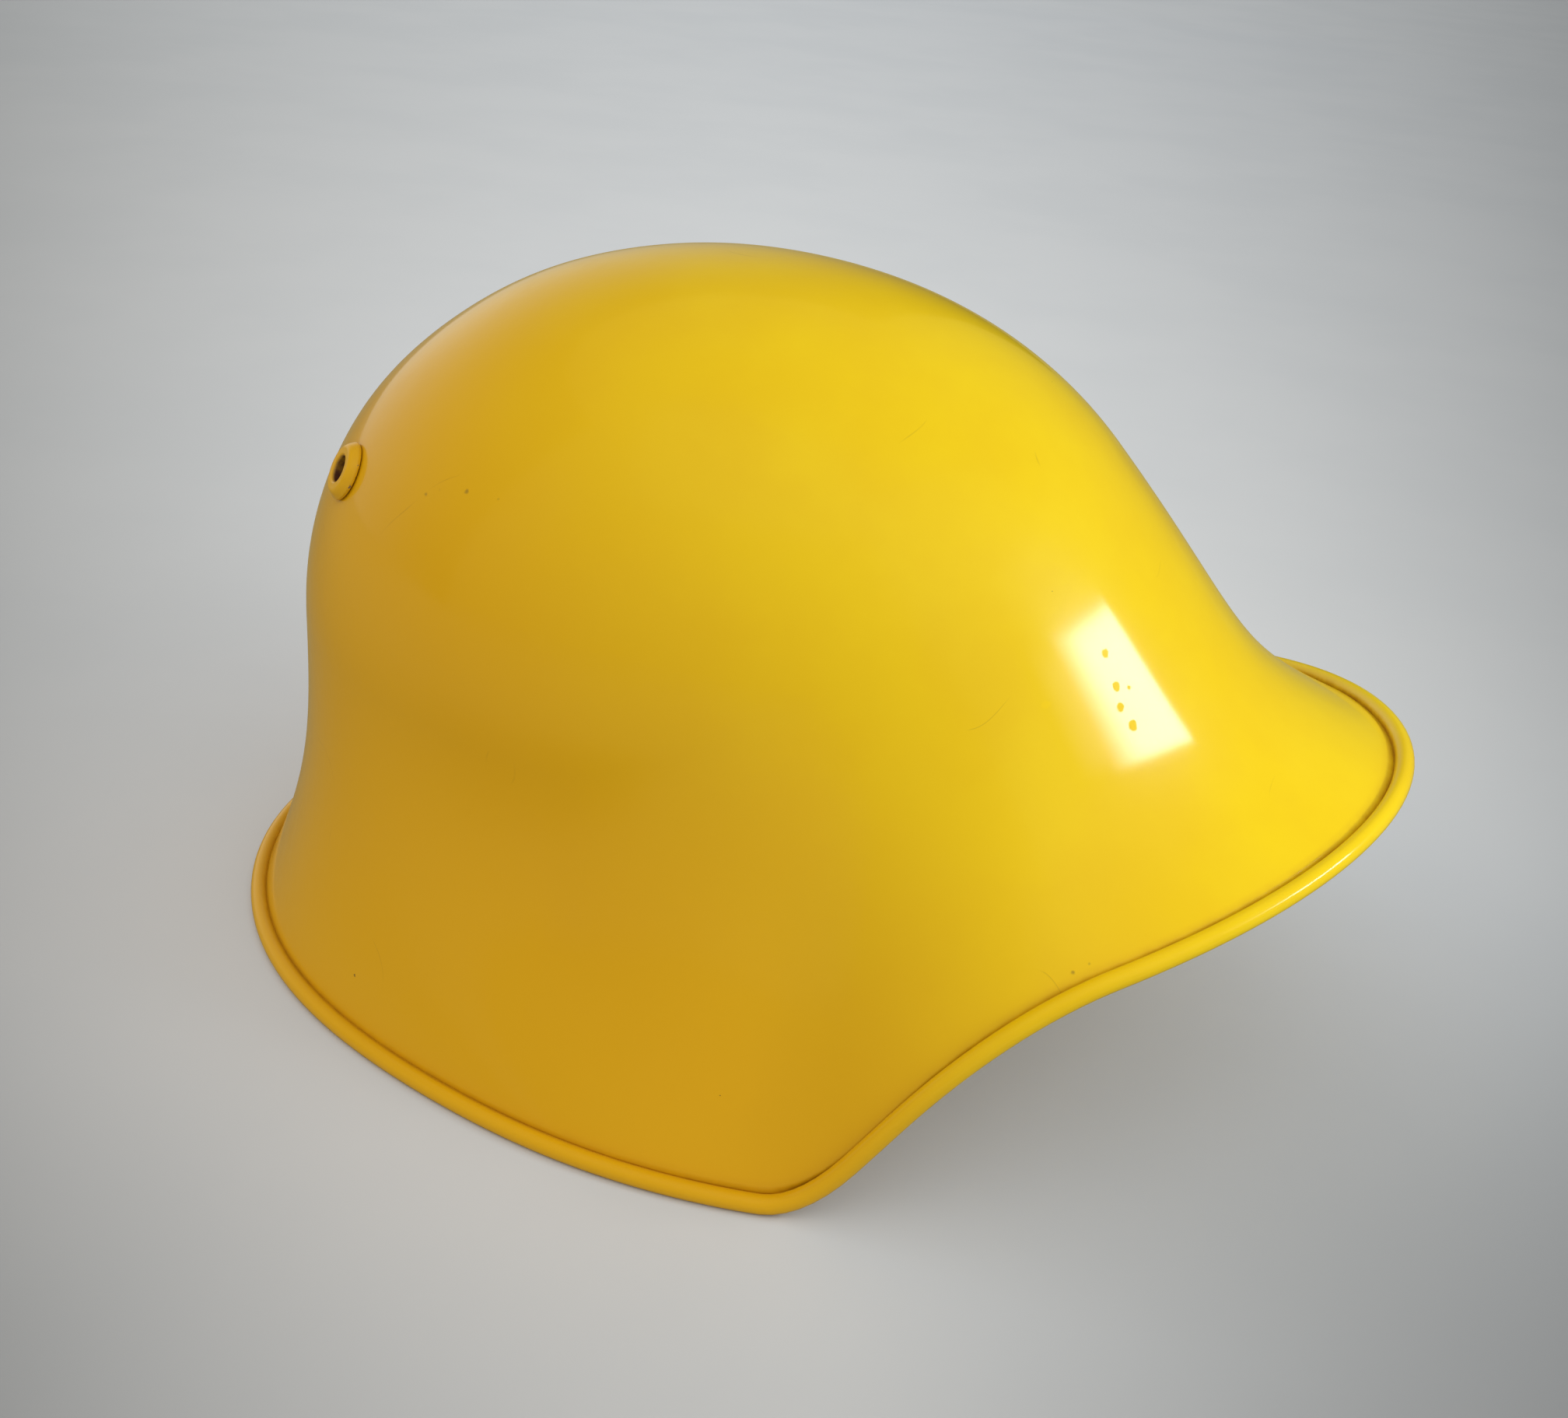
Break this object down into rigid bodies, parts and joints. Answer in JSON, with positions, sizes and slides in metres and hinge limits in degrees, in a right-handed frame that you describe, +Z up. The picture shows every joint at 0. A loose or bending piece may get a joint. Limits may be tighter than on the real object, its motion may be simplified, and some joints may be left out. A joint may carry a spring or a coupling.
{
  "type": "steel helmet",
  "caption": "Deep-skirted steel helmet with a sloping visor, rolled rim, rear vents, laced leather liner and an adjustable chin strap with a prong buckle.",
  "frame": {"origin": "centre of the bounding box in plan, on the plane the rim rests on", "axes": "+X to the front through the visor's tip, +Y to the wearer's left, +Z up through the crown"},
  "size_m": [0.32, 0.2484, 0.1933],
  "materials": {
    "enamel": "glossy yellow enamel",
    "band_steel": "rolled spring steel",
    "rivet_steel": "satin",
    "plated_wire": "dull nickel plate",
    "liner_leather": "undyed vegetable-tanned",
    "strap_leather": "dark oiled",
    "cushion_cloth": "coarse linen",
    "lace": "braided cotton"
  },
  "bodies": {
    "helmet": {"shell": "enamel", "vent_bushing_left": "enamel", "vent_bushing_right": "enamel", "vent_washers": "enamel", "liner_lug_left": "enamel", "liner_lug_right": "enamel", "liner_lug_rear": "enamel", "liner_band": "band_steel", "band_rivets": "rivet_steel", "sweatband": "liner_leather", "tongues_front": "liner_leather", "tongues_left": "liner_leather", "tongues_right": "liner_leather", "pad_front": "cushion_cloth", "pad_left": "cushion_cloth", "pad_right": "cushion_cloth", "crown_lace": "lace", "strap_lug_left": "enamel", "strap_lug_right": "enamel"},
    "bail_left": {"bail_left": "plated_wire"},
    "bail_right": {"bail_right": "plated_wire"},
    "strap_long": {"strap_long": "strap_leather", "strap_long_rivet": "rivet_steel"},
    "strap_short": {"strap_short": "strap_leather", "strap_short_rivets": "rivet_steel"},
    "strap_keeper": {"strap_keeper": "strap_leather"},
    "buckle_frame": {"buckle_frame": "plated_wire"},
    "buckle_prong": {"buckle_prong": "plated_wire"}
  },
  "joints": [
    {"name": "bail_left_hinge", "type": "hinge", "parent": "helmet", "child": "bail_left", "pos_m": [-0.00503, 0.10773, 0.017], "axis": [-1, 0, 0], "range_deg": [-36, 12]},
    {"name": "bail_right_hinge", "type": "hinge", "parent": "helmet", "child": "bail_right", "pos_m": [-0.00503, -0.10773, 0.017], "axis": [1, 0, 0], "range_deg": [-36, 12]},
    {"name": "strap_long_hinge", "type": "hinge", "parent": "bail_left", "child": "strap_long", "pos_m": [-0.00503, 0.09827, 0.0041], "axis": [-1, 0, 0], "range_deg": [-90, 18]},
    {"name": "strap_short_hinge", "type": "hinge", "parent": "bail_right", "child": "strap_short", "pos_m": [-0.00503, -0.09827, 0.0041], "axis": [1, 0, 0], "range_deg": [-90, 40]},
    {"name": "buckle_frame_hinge", "type": "hinge", "parent": "strap_short", "child": "buckle_frame", "pos_m": [-0.00503, -0.03727, 0.0041], "axis": [1, 0, 0], "range_deg": [-45, 45]},
    {"name": "buckle_prong_hinge", "type": "hinge", "parent": "buckle_frame", "child": "buckle_prong", "pos_m": [-0.00503, -0.03727, 0.0041], "axis": [1, 0, 0], "range_deg": [0, 95]},
    {"name": "keeper_slide", "type": "slide", "parent": "strap_short", "child": "strap_keeper", "axis": [0, 1, 0], "range_m": [-0.008, 0.008]}
  ]
}
